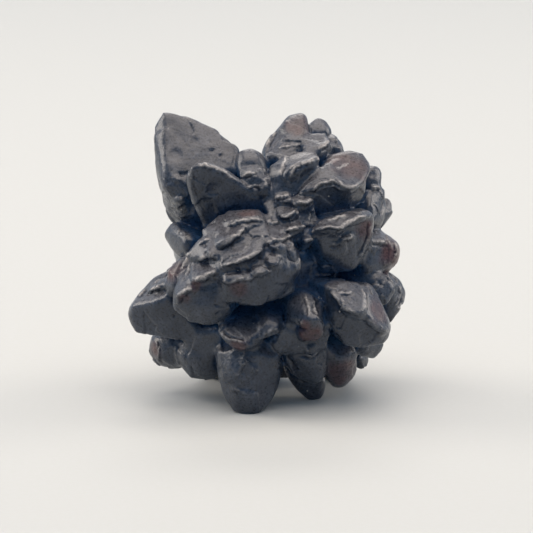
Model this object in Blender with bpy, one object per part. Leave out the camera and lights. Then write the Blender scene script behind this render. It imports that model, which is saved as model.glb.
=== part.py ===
"""Goethite pseudomorph: one loose stone, a ball of blunt bladed crystals that radiate from a nucleus.

Goethite has replaced iron sulphide here and kept the shape of its crystals: thick wedges with
worn edges, many of them grown side by side in combs. The stone rests on a few worn tips.
Lengths in this file are millimetres until a mesh is written, which is in metres.
"""

import math
import random
from typing import NamedTuple

import bmesh
import bpy
from mathutils import Matrix, Vector

MM = 0.001
NODE_NAME = "goethite_stone"

# Corners are listed as (right, up, near) from the nucleus, as an eye VIEW_TILT above the
# horizon sees the stone: near is towards that eye.
VIEW_TILT = math.radians(12.0)
NUCLEUS_HEIGHT = 13.35
NUCLEUS_RADIUS = 6.6
SEED = 20

# A crystal narrows to a square root of this half side, buried in the nucleus.
ROOT_HALF = 1.3
# Wear takes a chamfer off the edges outside the nucleus that turn more than this.
WEAR = 0.3
WEAR_FROM_RADIUS = 9.0
WEAR_TURN = math.radians(38.0)
# Facets that turn less than this from their neighbour are one flat face.
FLAT_TURN = math.radians(7.0)
SHORTEST_EDGE = 0.03


class Crystal(NamedTuple):
    """One crystal: the corners of its head, and the place inside the nucleus that it grew from."""

    name: str
    root: tuple
    corners: tuple


UPPER_CRYSTALS = (
    Crystal("spire", (-3, 2, -1.5), (
        (-11.3, 15.35, -0.8), (-12.3, 13.8, -1.0), (-11.2, 14.5, 0.1), (-10.2, 15.2, -0.3),
        (-8.5, 14.6, 0.0), (-6.0, 13.5, 0.6), (-3.6, 11.6, 1.4), (-11.9, 9.6, 0.6),
        (-10.9, 9.4, 2.8), (-9.2, 9.3, 3.0), (-4.0, 9.2, 3.3), (-11.0, 7.6, 3.0), (-9.0, 7.4, 3.8),
        (-11.3, 6.0, -0.6), (-10.6, 4.1, -1.0), (-9.2, 5.0, 2.8), (-7.0, 2.5, 1.5), (-9.0, 13.0, -3.2),
        (-4.5, 9.0, -5.0), (-10.5, 7.0, -4.0))),
    Crystal("spire_ledge_high", (-7, 6, 0), (
        (-11.4, 8.8, 1.6), (-9.6, 8.6, 3.8), (-9.4, 7.9, 4.0), (-11.3, 8.0, 1.8), (-10.4, 8.2, 3.5))),
    Crystal("spire_ledge_low", (-7, 5, 0), (
        (-11.1, 6.9, 1.2), (-9.3, 6.6, 3.8), (-9.0, 5.8, 3.9), (-11.0, 6.0, 1.2), (-10.2, 6.2, 3.2))),
    Crystal("spire_side", (-1.3, 1.2, -2), (
        (-10.4, 4.2, 1.0), (-10.9, 3.5, 0.6), (-11.15, 2.7, 0.6), (-11.0, 2.1, 0.8), (-9.7, 0.4, 2.4),
        (-9.4, 3.2, 3.8), (-8.4, 2.2, 5.0), (-8.8, 1.0, 4.8), (-10.4, 2.6, -1.0))),
    Crystal("dark_wedge", (-3, 3, 0), (
        (-8.0, 9.9, 4.8), (-6.9, 10.0, 4.8), (-4.9, 9.2, 4.8), (-8.4, 9.2, 7.3), (-7.6, 9.7, 7.4),
        (-6.2, 9.5, 7.1), (-4.8, 8.8, 6.6), (-4.0, 7.5, 5.9), (-9.0, 7.9, 5.4), (-8.4, 5.8, 4.6),
        (-7.4, 3.7, 3.9), (-6.9, 3.2, 4.4), (-1.0, 6.2, 4.8), (-1.0, 4.7, 4.3))),
    Crystal("knob", (-1.5, 4, 0), (
        (-4.0, 10.6, 1.8), (-3.4, 11.2, 2.4), (-2.4, 11.5, 2.4), (-1.5, 11.1, 2.4), (-0.9, 10.2, 2.4),
        (-3.7, 9.6, 3.9), (-1.0, 9.4, 4.0), (-3.0, 10.2, 4.0), (-1.7, 10.2, 4.1), (-3.6, 8.8, 3.9),
        (-0.7, 8.6, 3.9), (-0.5, 9.6, 1.4), (-4.2, 9.4, 1.4))),
    Crystal("knob_step", (-1, 4, 1), (
        (-3.7, 9.3, 4.0), (-2.6, 9.5, 4.5), (-1.0, 9.4, 4.2), (-0.5, 8.2, 5.0), (-3.6, 8.0, 4.8),
        (-2.2, 8.5, 5.4), (-2.6, 6.9, 5.2), (-0.4, 6.4, 5.2), (-0.8, 7.6, 5.5))),
    Crystal("crest", (0.5, 3, -2), (
        (1.3, 15.0, -1.5), (2.7, 15.3, -1.5), (3.3, 14.9, -1.2), (0.1, 13.5, -1.0),
        (-0.8, 12.4, -0.5), (-1.4, 11.2, 0.5), (1.4, 14.2, -0.1), (2.8, 14.1, 0.3), (-1.0, 10.6, 1.8),
        (0.7, 10.4, 3.2), (3.4, 12.0, 2.2), (1.5, 13.5, -4.0), (-0.5, 10.5, -4.0), (3.5, 12.8, -4.0))),
    Crystal("crest_rim", (1, 8, -1), (
        (-0.6, 12.2, -0.2), (0.5, 13.3, -0.6), (1.1, 13.2, -0.1), (-0.6, 11.2, 1.2), (0.3, 11.4, 1.8),
        (0.4, 12.6, 0.9))),
    Crystal("crest_back", (2, 3, -3), (
        (3.4, 14.3, -3.0), (4.5, 14.75, -3.0), (5.3, 14.3, -2.8), (5.8, 13.2, -2.4), (3.6, 13.3, -1.6),
        (5.1, 13.0, -1.2), (4.4, 13.4, -5.0), (3.4, 11.5, -5.0), (5.6, 11.5, -4.5))),
    Crystal("crest_step", (2, 3, -1), (
        (3.0, 13.1, 0.5), (5.3, 13.2, 0.2), (5.7, 12.0, 1.8), (3.0, 11.2, 3.2), (4.6, 11.1, 3.2))),
    Crystal("crest_right", (3, 3, -2), (
        (5.5, 13.1, -1.0), (6.5, 12.5, -1.0), (7.1, 11.3, -0.6), (6.9, 10.6, 0.6), (4.6, 12.2, 0.6),
        (4.6, 10.8, 1.9), (6.3, 11.8, 0.9))),
    Crystal("brow", (0.5, 2.5, 0), (
        (-0.6, 9.6, 3.8), (0.6, 10.3, 2.8), (1.7, 10.9, 2.4), (3.7, 11.0, 2.8), (4.4, 10.6, 3.6),
        (2.2, 9.4, 6.2), (3.5, 9.8, 5.9), (4.4, 10.3, 4.9), (1.6, 8.4, 6.4), (-0.6, 8.4, 4.8),
        (0.4, 8.0, 5.4), (2.4, 8.9, 5.7), (4.2, 9.9, 4.7))),
    Crystal("brow_under", (0.5, 2.5, 0), (
        (2.6, 9.2, 5.3), (4.4, 9.8, 4.5), (4.6, 8.9, 4.9), (3.5, 7.9, 5.2), (2.4, 6.4, 5.6),
        (1.3, 8.0, 5.8), (0.8, 6.0, 5.7), (-0.6, 8.6, 4.2), (-1.2, 6.4, 5.0), (3.8, 6.2, 5.2),
        (-1.0, 5.0, 5.4))),
    Crystal("red_blade", (2, 3, 0), (
        (5.5, 10.9, 1.8), (7.5, 11.3, 1.0), (8.9, 10.9, 1.0), (9.6, 9.9, 1.6), (9.6, 9.1, 2.4),
        (9.0, 8.0, 4.6), (7.8, 7.2, 6.2), (6.9, 7.2, 6.7), (5.6, 7.9, 6.7), (4.8, 9.6, 4.7),
        (7.3, 6.9, 5.8), (5.8, 7.5, 5.9))),
    Crystal("red_blade_left", (2, 3, 1), (
        (4.6, 9.5, 4.6), (6.2, 9.4, 4.6), (6.1, 8.0, 6.4), (4.7, 7.7, 6.7), (3.7, 7.0, 6.8),
        (2.5, 6.9, 6.5), (2.6, 7.4, 6.0), (3.6, 6.6, 6.4), (5.2, 7.3, 6.1))),
    Crystal("red_blade_under", (2, 3, 0), (
        (3.4, 6.4, 6.0), (4.7, 7.4, 5.9), (7.2, 6.9, 5.3), (8.8, 7.8, 3.7), (8.9, 6.2, 2.2),
        (7.5, 5.5, 3.0), (6.0, 4.9, 3.8), (4.4, 4.4, 4.6), (9.2, 8.8, 1.8), (5.5, 9.6, 1.6))),
    Crystal("valley_step", (1, 2, 2), (
        (-0.6, 6.6, 5.4), (2.0, 6.3, 5.9), (3.7, 6.0, 5.8), (3.5, 4.8, 5.8), (-0.4, 5.2, 5.8))),
    Crystal("valley_floor", (1, 2, 2), (
        (-1.2, 5.8, 5.6), (2.2, 4.8, 6.2), (4.4, 4.2, 5.9), (4.2, 2.2, 6.2), (2.4, 1.8, 7.1),
        (-0.4, 4.2, 7.0), (0.6, 6.4, 5.4), (3.8, 5.6, 5.6), (1.6, 3.4, 7.2))),
    Crystal("valley_chip_top", (1, 3, 3), (
        (0.0, 7.0, 5.2), (1.5, 7.0, 5.4), (0.0, 6.2, 6.4), (1.6, 6.3, 6.7), (0.8, 5.8, 6.5),
        (0.4, 5.7, 6.0))),
    Crystal("valley_chip_right", (1.5, 3, 3), (
        (1.9, 6.8, 5.7), (3.9, 6.6, 5.7), (1.9, 5.8, 7.0), (3.8, 5.9, 6.8), (2.8, 5.3, 7.0),
        (3.0, 5.2, 6.4))),
    Crystal("valley_chip_middle", (1, 2, 3), (
        (0.2, 5.5, 6.0), (2.1, 5.5, 6.2), (0.2, 4.7, 7.4), (1.5, 4.2, 7.7), (2.3, 4.9, 7.2),
        (0.8, 4.0, 7.4), (1.2, 3.9, 6.9))),
    Crystal("valley_chip_low", (1, 1, 3), (
        (1.0, 4.0, 7.0), (2.4, 4.0, 6.9), (1.0, 3.1, 8.5), (2.6, 3.3, 8.2), (1.8, 2.7, 8.3),
        (1.8, 2.5, 7.6))),
    Crystal("valley_chip_foot", (1.5, 1, 3), (
        (2.8, 2.9, 6.8), (3.9, 2.9, 6.6), (2.8, 2.1, 7.9), (3.8, 2.2, 7.6), (3.2, 1.7, 7.7),
        (3.3, 1.6, 7.0))),
    Crystal("right_scale_top", (3, 2, -3), (
        (9.2, 9.9, -2.0), (10.5, 9.7, -2.2), (10.9, 9.0, -2.0), (10.8, 7.6, -1.6), (9.4, 9.1, -0.6),
        (9.8, 7.4, -0.2), (9.4, 8.5, -4.0))),
    Crystal("right_scale_front", (3, 1.5, -2), (
        (10.2, 8.0, -1.5), (11.2, 7.4, -2.2), (11.5, 5.5, -2.0), (11.0, 3.6, -1.0), (9.6, 7.2, 0.2),
        (9.5, 5.8, 1.4), (9.9, 3.8, 1.6))),
    Crystal("right_scale_back", (3, 1, -4), (
        (11.5, 6.8, -3.5), (12.1, 6.1, -3.6), (12.1, 5.0, -3.2), (11.5, 4.1, -2.5), (10.8, 3.3, -1.9),
        (10.3, 4.8, -1.5), (10.6, 5.5, -6.0), (10.1, 3.7, -5.8))),
)

MIDDLE_CRYSTALS = (
    Crystal("fin", (1.5, 3, -1), (
        (3.7, 3.4, 7.4), (5.0, 3.8, 7.4), (7.5, 4.6, 6.2), (9.4, 5.1, 4.2), (9.9, 4.7, 3.2),
        (9.8, 4.6, 4.2), (9.6, 3.2, 4.2), (9.1, 1.6, 4.3), (8.1, -0.2, 4.6), (7.8, -1.1, 4.4),
        (9.9, 3.2, 2.8), (8.9, 0.0, 2.8), (4.8, 1.9, 7.3), (4.9, 1.0, 7.1), (7.7, 0.9, 5.5),
        (4.2, 3.0, 8.0), (4.6, -1.2, 4.8), (5.0, 4.6, 5.0), (9.0, 5.4, 2.0))),
    Crystal("fin_ledge", (4, 2, 3), (
        (4.5, 4.3, 7.2), (6.5, 4.8, 6.6), (7.6, 4.8, 6.1), (4.6, 3.4, 8.4), (6.1, 3.2, 8.5),
        (7.4, 3.8, 7.7), (5.1, 2.7, 7.8), (6.2, 2.7, 7.7), (3.6, 3.0, 8.2))),
    Crystal("fin_roof", (3, 3, 1), (
        (7.0, 4.8, 6.6), (9.4, 5.2, 4.2), (9.7, 4.6, 4.8), (8.7, 4.3, 6.6), (7.4, 3.9, 7.7),
        (9.0, 4.0, 5.6), (7.4, 3.5, 7.0), (8.9, 5.4, 2.4))),
    Crystal("fin_step", (4, 1, 3), (
        (6.4, 2.6, 6.8), (8.2, 2.7, 5.4), (8.0, 2.1, 5.8), (6.5, 1.8, 7.0), (7.4, 2.4, 6.6))),
    Crystal("brown_blade", (1.5, 0.7, -2), (
        (10.2, 3.6, -1.2), (11.5, 2.9, -1.4), (12.3, 2.1, -1.0), (12.5, 1.2, -0.6), (12.3, -0.1, -0.4),
        (11.8, -0.9, 0.0), (9.2, 2.4, 3.0), (12.1, 1.7, 0.9), (12.2, 0.6, 0.9), (11.5, -0.7, 1.3),
        (9.0, -0.4, 3.4), (9.0, -1.4, 2.8), (11.4, 1.0, -3.0), (10.6, 2.3, 2.1))),
    Crystal("side_disc", (1.5, -1, -1), (
        (10.4, -1.0, 2.4), (11.5, -1.1, 1.9), (12.1, -2.0, 1.9), (12.2, -3.0, 2.0), (11.7, -3.9, 2.4),
        (11.1, -4.5, 2.8), (10.0, -1.6, 3.0), (10.2, -3.6, 3.4), (11.6, -2.6, 2.0))),
    Crystal("side_blade", (1.5, -1.3, -3), (
        (11.4, -0.9, -1.5), (12.6, -1.8, -1.8), (13.3, -3.0, -2.0), (13.1, -4.1, -1.8),
        (12.6, -5.0, -0.8), (11.8, -6.0, -0.2), (11.6, -3.6, 0.9), (11.4, -1.4, 0.6),
        (12.0, -3.0, -4.0))),
    Crystal("ram", (2, -3, -1), (
        (5.0, -2.8, 7.4), (8.5, -2.1, 4.8), (9.5, -2.3, 3.8), (10.5, -4.0, 2.9), (11.6, -6.3, 3.0),
        (6.0, -4.2, 8.0), (7.0, -5.2, 8.2), (8.7, -5.8, 7.4), (10.1, -7.0, 5.8), (11.4, -6.6, 4.2),
        (11.3, -7.8, 3.9), (10.8, -8.3, 4.4), (8.5, -8.6, 6.2), (7.0, -8.3, 7.0), (5.3, -5.5, 7.7))),
    Crystal("ram_roof_left", (2, -2, 0), (
        (4.9, -2.4, 8.3), (6.4, -2.0, 7.4), (8.4, -1.9, 6.0), (8.8, -3.0, 7.2), (5.6, -3.1, 9.1),
        (6.4, -4.0, 9.5), (7.2, -4.9, 9.8), (8.0, -5.1, 9.5), (8.8, -5.4, 8.9), (8.9, -4.2, 8.2),
        (7.0, -5.3, 8.6), (8.6, -5.9, 7.9), (5.8, -3.9, 8.4))),
    Crystal("ram_roof_right", (2.5, -2.5, -1), (
        (8.7, -2.2, 6.0), (9.5, -2.1, 4.6), (10.6, -3.8, 3.5), (11.7, -6.2, 3.1), (8.8, -3.4, 7.3),
        (8.9, -5.3, 8.5), (9.7, -6.4, 7.7), (10.8, -6.9, 6.4), (11.5, -6.5, 5.0), (9.6, -6.9, 6.8),
        (10.8, -7.4, 5.5))),
    Crystal("peak", (1, -3, 2), (
        (2.4, -3.2, 7.7), (3.1, -3.0, 7.6), (4.35, -5.6, 9.7), (3.65, -5.8, 10.0), (1.0, -4.2, 7.6),
        (1.2, -6.0, 8.0), (2.2, -6.3, 8.9), (4.9, -4.0, 7.0), (4.8, -6.0, 8.6), (3.4, -6.5, 9.2))),
    Crystal("peak_lip", (2, -3, 2), (
        (2.3, -7.2, 8.3), (3.6, -6.2, 9.5), (4.4, -5.9, 9.4), (5.0, -6.2, 8.6), (4.8, -7.3, 8.0),
        (4.2, -7.9, 7.8), (2.6, -8.0, 7.6), (3.2, -7.5, 8.7))),
    Crystal("matrix_right", (2, -2, 2), (
        (1.2, -3.4, 7.2), (4.6, -3.2, 6.6), (5.4, -5.6, 7.0), (5.6, -7.6, 6.8), (1.0, -6.4, 7.6))),
    Crystal("snout_back", (-2, 1.2, 0), (
        (-9.7, 0.5, 5.2), (-10.7, -0.6, 4.8), (-11.0, -2.3, 4.6), (-10.6, -3.6, 5.0),
        (-9.6, -1.0, 6.6), (-8.6, 0.6, 6.2), (-9.9, -2.8, 6.6))),
    Crystal("snout", (-1.3, 0, 2), (
        (-9.5, -1.3, 6.8), (-10.1, -2.8, 7.1), (-10.3, -4.3, 7.1), (-9.9, -5.1, 7.1), (-8.5, -6.0, 7.2),
        (-7.0, -6.3, 7.5), (-5.3, -6.0, 7.9), (-4.4, -5.2, 8.3), (-4.5, -3.9, 9.2), (-8.0, -2.8, 9.0),
        (-6.0, -2.0, 9.5), (-5.2, -2.6, 9.6), (-8.6, -4.2, 8.8), (-6.4, -4.8, 9.2), (-8.8, 0.0, 6.2),
        (-6.0, 0.4, 7.8))),
    Crystal("snout_ledge_high", (-3, 0, 3), (
        (-8.4, 0.0, 7.4), (-5.6, 0.4, 8.4), (-5.2, -0.9, 10.2), (-6.4, -1.5, 10.5), (-7.4, -1.85, 10.3),
        (-8.2, -1.9, 9.8), (-8.2, -2.6, 8.9), (-5.6, -1.7, 9.4))),
    Crystal("snout_ledge_low", (-4, -1, 3), (
        (-9.4, -1.2, 7.2), (-8.0, -1.4, 8.8), (-7.9, -2.7, 9.8), (-8.7, -3.1, 9.7), (-9.4, -3.5, 9.1),
        (-10.0, -3.3, 7.7), (-8.2, -3.4, 9.1), (-9.6, -4.0, 8.3))),
    Crystal("lump", (0, 0.5, 2), (
        (-5.8, 4.6, 6.0), (-1.4, 4.9, 6.4), (-7.4, 3.2, 6.8), (1.6, 3.4, 7.2), (-7.0, 1.4, 8.2),
        (-4.2, 2.4, 9.5), (-1.0, 2.8, 9.6), (1.2, 1.6, 9.3), (-5.5, -0.6, 10.2), (-3.2, -0.4, 11.0),
        (-0.6, -0.4, 11.0), (1.2, -0.6, 10.0), (2.0, -1.4, 8.6), (-5.3, -2.2, 10.4),
        (-2.8, -2.4, 11.0), (-0.6, -2.4, 10.7), (1.4, -2.6, 9.0), (-4.9, -4.2, 9.5),
        (-3.2, -3.8, 10.6), (-1.8, -4.5, 9.7), (0.4, -3.9, 8.9))),
    Crystal("lump_crown", (-1, 1.5, 2), (
        (-5.0, 5.0, 6.2), (-1.6, 5.2, 6.6), (-5.2, 3.9, 7.8), (-3.0, 4.2, 8.5), (-1.0, 4.1, 8.4),
        (-4.6, 3.2, 8.4), (-1.4, 3.4, 8.8), (-3.2, 3.4, 9.1))),
    Crystal("lump_ledge_high", (-1, 1, 3), (
        (-5.6, 3.4, 7.6), (-3.4, 3.9, 8.4), (-6.0, 1.7, 9.5), (-4.6, 2.0, 10.3), (-3.2, 2.9, 10.1),
        (-5.7, 1.1, 9.4), (-3.4, 2.2, 9.9), (-2.4, 3.7, 9.3))),
    Crystal("lump_left", (-1, 1, 2), (
        (-7.6, 2.4, 7.4), (-9.0, 0.6, 6.8), (-8.4, -0.2, 7.6), (-6.8, 0.2, 9.4), (-6.4, 1.2, 9.2))),
    Crystal("lump_left_chip", (-1, 1, 3), (
        (-6.9, 2.6, 7.6), (-5.9, 2.5, 8.3), (-6.9, 0.9, 9.6), (-5.8, 1.0, 10.0), (-6.3, 0.2, 9.8),
        (-5.6, 0.3, 9.9))),
    Crystal("lump_ledge_middle", (0, 1, 3), (
        (-5.4, 0.8, 9.6), (-3.0, 1.7, 10.2), (-1.2, 2.6, 10.1), (-5.4, -0.5, 10.9), (-4.2, -0.35, 11.4),
        (-3.2, 0.0, 11.7), (-2.4, 0.5, 11.6), (-1.2, 1.2, 11.2), (-5.2, -1.0, 10.5), (-2.6, -0.2, 11.1),
        (-1.3, 0.6, 10.9))),
    Crystal("lump_right", (1, 1, 3), (
        (-0.9, 2.6, 9.4), (0.9, 2.9, 8.8), (-0.8, 1.6, 10.8), (1.1, 1.6, 10.2), (0.2, 1.0, 10.9),
        (0.6, 0.8, 10.4))),
    Crystal("lump_flank", (1, 0, 3), (
        (1.7, 2.0, 8.8), (2.4, 0.2, 8.5), (2.4, -1.2, 8.2), (1.5, 1.2, 9.7), (1.9, -0.6, 9.5),
        (1.4, -2.0, 9.4))),
    Crystal("lump_bump", (0.5, 0, 3), (
        (-1.0, 0.9, 10.6), (0.2, 0.9, 10.4), (0.7, 0.4, 10.3), (-1.0, 0.0, 11.5), (-0.1, -0.3, 11.8),
        (0.5, 0.1, 11.3), (-0.6, -0.7, 11.1), (0.4, -0.6, 10.7))),
    Crystal("lump_ledge_low", (-0.5, -1, 3), (
        (-5.2, -1.2, 10.6), (-3.2, -0.8, 11.1), (-2.4, -0.8, 11.1), (-5.3, -1.9, 11.0), (-4.2, -2.0, 11.5),
        (-2.5, -1.8, 11.8), (-2.2, -1.5, 11.7), (-4.9, -2.4, 10.6), (-2.6, -2.4, 11.1))),
    Crystal("lump_ledge_nose", (0, -1, 3), (
        (-2.3, -0.4, 11.1), (-1.2, -0.2, 11.2), (-0.6, -0.6, 11.0), (-2.3, -1.1, 11.9), (-1.4, -1.25, 12.0),
        (-0.5, -0.9, 11.6), (-2.2, -1.8, 11.2), (-0.8, -1.5, 11.1))),
    Crystal("chin_side", (1, -1, 3), (
        (-1.2, -1.6, 10.6), (1.6, -1.2, 9.0), (2.0, -3.0, 8.2), (0.4, -3.8, 8.6), (-1.2, -3.8, 9.4))),
    Crystal("left_ram", (-1.3, -1, -2), (
        (-10.9, -0.9, 1.0), (-12.3, -1.6, 0.6), (-13.5, -2.9, 0.6), (-14.6, -4.6, 1.0),
        (-14.2, -4.4, 2.8), (-12.0, -4.1, 4.6), (-10.7, -3.5, 5.4), (-14.7, -5.2, 1.6),
        (-14.4, -6.2, 1.6), (-13.9, -7.1, 1.8), (-12.5, -7.4, 2.6), (-9.7, -7.9, 3.8),
        (-7.5, -7.0, 4.6), (-13.0, -5.0, -1.4))),
    Crystal("left_ram_ledge", (-7, -2, 1), (
        (-11.8, -1.7, 2.4), (-10.4, -1.4, 4.4), (-10.4, -2.5, 5.3), (-11.8, -2.8, 4.3),
        (-13.2, -3.2, 2.7))),
)

LOWER_CRYSTALS = (
    Crystal("shelf", (-0.5, -2.5, 2), (
        (-5.6, -6.3, 7.4), (-4.9, -7.6, 8.2), (-3.5, -8.3, 8.8), (-2.5, -8.6, 8.9), (-1.3, -7.6, 8.5),
        (-0.5, -6.8, 7.8), (-4.6, -5.6, 6.2), (-1.5, -5.4, 6.4), (-4.0, -8.7, 7.4),
        (-1.5, -8.4, 7.2))),
    Crystal("shelf_rim", (-1, -3, 2), (
        (-5.7, -6.1, 8.0), (-5.3, -7.3, 8.8), (-4.6, -7.9, 9.3), (-3.4, -8.2, 9.6), (-2.4, -8.7, 9.3),
        (-3.0, -7.7, 9.4), (-4.4, -7.3, 9.0), (-5.3, -6.4, 8.1), (-3.4, -8.8, 8.2), (-5.3, -7.7, 7.6))),
    Crystal("shelf_right", (0, -2.5, 2), (
        (-2.4, -5.6, 7.4), (-1.0, -5.4, 8.4), (0.5, -6.3, 8.5), (0.7, -7.2, 8.0), (-1.2, -7.9, 8.8),
        (-2.6, -7.9, 9.2), (-2.1, -6.8, 8.7))),
    Crystal("front_foot", (-1.3, -3, 1), (
        (-5.9, -8.6, 5.6), (-6.0, -9.7, 5.2), (-5.6, -11.6, 4.8), (-5.1, -13.4, 4.8),
        (-4.1, -14.9, 5.4), (-3.2, -15.3, 6.0), (-2.0, -15.3, 6.0), (-1.3, -15.0, 5.6),
        (-0.3, -14.0, 4.8), (0.5, -12.5, 4.0), (0.9, -10.4, 4.0), (-4.2, -9.0, 8.0),
        (-2.0, -8.8, 8.0), (-3.8, -12.6, 7.6), (-2.2, -13.4, 7.2), (-4.0, -12.0, 2.0),
        (-1.5, -12.0, 1.5), (0.4, -9.4, 6.4))),
    Crystal("foot_ledge", (-3, -7, 4), (
        (-5.9, -8.7, 6.2), (-3.0, -8.7, 8.3), (-2.9, -9.6, 8.6), (-3.6, -11.4, 8.4), (-4.6, -12.2, 7.4),
        (-5.3, -12.0, 6.2), (-5.9, -10.4, 5.8), (-4.4, -9.6, 7.8))),
    Crystal("left_toe_back", (-2.5, -2.3, -3), (
        (-12.5, -7.0, -1.0), (-12.9, -9.0, -1.4), (-12.0, -10.3, -1.4), (-11.0, -10.8, -1.0),
        (-9.5, -10.8, 0.0), (-12.2, -7.6, 0.6), (-11.8, -9.8, 0.8), (-9.6, -7.6, 2.6),
        (-9.4, -10.2, 1.8), (-11.4, -9.0, -3.5))),
    Crystal("left_toe_front", (-2, -2.8, -1.5), (
        (-9.7, -7.6, 2.4), (-9.9, -9.8, 1.8), (-9.1, -10.9, 1.6), (-8.3, -11.8, 1.4),
        (-7.0, -12.0, 1.4), (-5.6, -11.6, 2.0), (-9.0, -9.4, 3.6), (-7.6, -10.4, 4.2),
        (-5.8, -8.6, 5.0), (-5.8, -10.8, 3.6), (-8.0, -10.5, -1.0))),
    Crystal("matrix_left", (-2, -3, 0), (
        (-9.8, -7.2, 3.2), (-8.9, -6.9, 4.2), (-5.4, -6.6, 6.0), (-4.6, -8.4, 6.0), (-6.2, -9.4, 4.8),
        (-9.0, -8.8, 3.4))),
    Crystal("middle_toe", (1, -2.8, 1), (
        (0.8, -8.2, 5.8), (5.2, -8.4, 5.2), (2.3, -11.7, 3.8), (4.3, -12.3, 3.2), (5.3, -11.0, 3.2),
        (3.0, -9.6, 6.3), (4.0, -11.2, 4.8), (0.8, -10.4, 4.4), (3.0, -10.5, 0.0))),
    Crystal("matrix_low", (1, -3, 1), (
        (0.4, -6.2, 7.4), (2.6, -7.0, 7.4), (5.4, -7.2, 6.8), (5.4, -8.8, 5.8), (2.6, -8.8, 6.4),
        (-1.0, -8.6, 6.6), (-0.8, -9.6, 5.6))),
    Crystal("matrix_low_lump", (2, -3, 1), (
        (2.6, -8.2, 6.9), (4.2, -8.0, 6.8), (4.6, -8.9, 6.2), (3.0, -9.2, 6.2), (3.6, -8.6, 7.1))),
    Crystal("right_foot", (1, -3.8, -1), (
        (0.9, -11.2, 1.6), (2.0, -12.7, 1.2), (3.4, -14.0, 0.6), (4.5, -14.1, 0.0), (4.9, -13.5, 0.0),
        (5.2, -12.2, 0.0), (3.0, -11.6, 2.8), (4.6, -11.4, 2.4), (3.0, -12.2, -2.0))),
    Crystal("brown_toe", (2.5, -2.8, -1), (
        (5.2, -8.6, 4.8), (5.2, -11.8, 2.6), (5.8, -12.7, 1.4), (6.8, -12.6, 1.2), (8.1, -11.6, 0.8),
        (8.4, -10.6, 1.0), (8.2, -8.8, 3.2), (6.6, -9.6, 4.7), (6.8, -11.6, 3.0), (6.8, -11.0, -1.5))),
    Crystal("small_toe", (3.5, -3.8, -3), (
        (8.2, -9.4, -0.6), (9.7, -9.7, -1.6), (9.4, -10.8, -1.8), (8.4, -11.0, -1.0),
        (8.7, -9.8, 0.4), (9.4, -9.2, -3.0))),
    Crystal("ram_under", (3, -2.8, -2), (
        (11.2, -8.0, 0.6), (10.9, -9.0, 0.2), (10.0, -10.0, -0.2), (8.6, -9.6, 1.6), (9.0, -8.4, 3.2),
        (8.2, -9.2, 2.4))),
    Crystal("back_foot_left", (-1.5, -2, -3), (
        (-7.2, -11.95, -8.9), (-5.2, -11.85, -9.5), (-6.0, -10.9, -10.3), (-6.4, -11.8, -7.8),
        (-9.2, -7.6, -6.7), (-2.5, -8.7, -6.5), (-6.2, -6.7, -11.1), (-5.5, -9.7, -4.1))),
    Crystal("back_foot_right", (1.5, -2, -3), (
        (4.8, -12.1, -8.8), (7.0, -12.1, -8.4), (6.2, -10.8, -10.2), (5.8, -12.0, -7.4),
        (9.4, -7.4, -6.0), (2.6, -8.9, -6.3), (5.4, -6.9, -11.0), (5.6, -9.7, -4.0))),
    Crystal("back_toe_middle", (0, -2, -3), (
        (-0.9, -9.7, -10.1), (1.0, -9.6, -10.3), (0.2, -8.6, -11.2), (-2.2, -6.8, -8.4),
        (2.4, -6.9, -8.2), (0.1, -4.8, -11.6), (0.0, -9.4, -6.2))),
    Crystal("underside_wedge", (0, -3, -1), (
        (-0.4, -12.1, -3.3), (1.4, -12.0, -3.8), (-2.6, -9.2, -1.6), (2.9, -9.4, -1.5),
        (0.4, -9.0, -5.6), (-2.0, -9.0, -4.6))),
)

# The far side repeats the same habit by rule: directions spread evenly over the ball, and a
# wedge with a stepped neighbour in each that no crystal listed above fills.
BALL_DIRECTIONS = 58
BACK_STARTS_AT = -0.16
BACK_GAP = math.radians(18.0)
BACK_REACH = (12.0, 14.2)
BACK_OUTLINE = 10.4
BACK_SHOULDER = (8.6, 9.8)
BACK_HALF_WIDTH = (2.6, 3.8)
BACK_FLATNESS = (0.55, 0.85)
BACK_TIP_SHARE = (0.25, 0.5)
BACK_SKEW = 1.2
STEP_REACH = 0.86
STEP_SIZE = 0.62


def clear_scene():
    for obj in list(bpy.data.objects):
        bpy.data.objects.remove(obj, do_unlink=True)


def view_to_stone():
    """Turns (right, up, near) about the nucleus into the stone's own X, Y, Z."""
    sine, cosine = math.sin(VIEW_TILT), math.cos(VIEW_TILT)
    return Matrix(((1, 0, 0, 0), (0, sine, -cosine, 0), (0, cosine, sine, NUCLEUS_HEIGHT), (0, 0, 0, 1)))


def worn_hull(corners):
    """The convex solid round the corners, with the sharp edges of its head worn off."""
    bm = bmesh.new()
    for corner in corners:
        bm.verts.new(corner)
    bmesh.ops.convex_hull(bm, input=bm.verts)
    inner = [vert for vert in bm.verts if not vert.link_faces]
    bmesh.ops.delete(bm, geom=inner, context="VERTS")
    bmesh.ops.dissolve_limit(bm, angle_limit=FLAT_TURN, verts=bm.verts, edges=bm.edges)
    bmesh.ops.recalc_face_normals(bm, faces=bm.faces)
    sharp = []
    for edge in bm.edges:
        middle = (edge.verts[0].co + edge.verts[1].co) / 2
        if middle.length > WEAR_FROM_RADIUS and edge.calc_face_angle() > WEAR_TURN:
            sharp.append(edge)
    bmesh.ops.bevel(
        bm, geom=sharp, offset=WEAR, offset_type="OFFSET", segments=1, profile=0.5,
        affect="EDGES", clamp_overlap=True, material=-1,
    )
    bmesh.ops.remove_doubles(bm, verts=bm.verts, dist=SHORTEST_EDGE)
    return bm


def crystal_corners(crystal):
    """The head's corners and those of the square root."""
    root = Vector(crystal.root)
    outward = (Vector(crystal.corners[0]) - root).normalized()
    side = outward.orthogonal().normalized() * ROOT_HALF
    other = outward.cross(side)
    return [*crystal.corners, root + side, root - side, root + other, root - other]


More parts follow.
